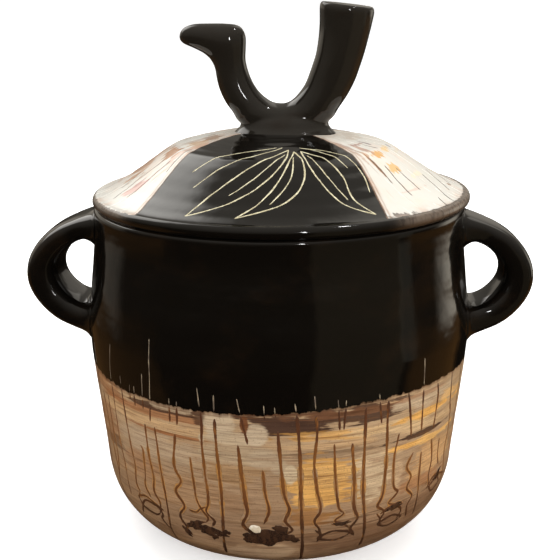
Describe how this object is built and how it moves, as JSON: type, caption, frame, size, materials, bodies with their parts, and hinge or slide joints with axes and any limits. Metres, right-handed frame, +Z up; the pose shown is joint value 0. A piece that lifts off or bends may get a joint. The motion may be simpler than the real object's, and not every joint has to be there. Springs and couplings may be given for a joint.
{
  "type": "lidded stoneware pot",
  "caption": "Glazed barrel-shaped pottery pot with strap handles and a loose domed lid lifted by a bird-shaped U knob.",
  "frame": {"origin": "on the pot's axis, in the plane of its foot", "axes": "+Z up along the pot's axis, +X out through the right handle, -Y towards the front of the decoration; the knob lies in the XZ plane with its beak towards -X"},
  "size_m": [0.3, 0.2252, 0.3115],
  "materials": {
    "black_glaze": "glossy black glaze",
    "streaked_glaze": "satin cream and brown brushed glaze",
    "white_glaze": "glossy white glaze with brown streaks",
    "scratched_line": "matt, scratched through the glaze",
    "bare_clay": "unglazed fired clay"
  },
  "bodies": {
    "pot": {"pot_body": "black_glaze", "foot_ring": "bare_clay", "right_handle": "black_glaze", "left_handle": "black_glaze"},
    "lid": {"lid_shell": "black_glaze", "lid_flange": "black_glaze", "bird_knob": "black_glaze"}
  },
  "joints": [
    {"name": "lid_lift", "type": "slide", "parent": "pot", "child": "lid", "axis": [0, 0, 1], "range_m": [0, 0.15]}
  ]
}
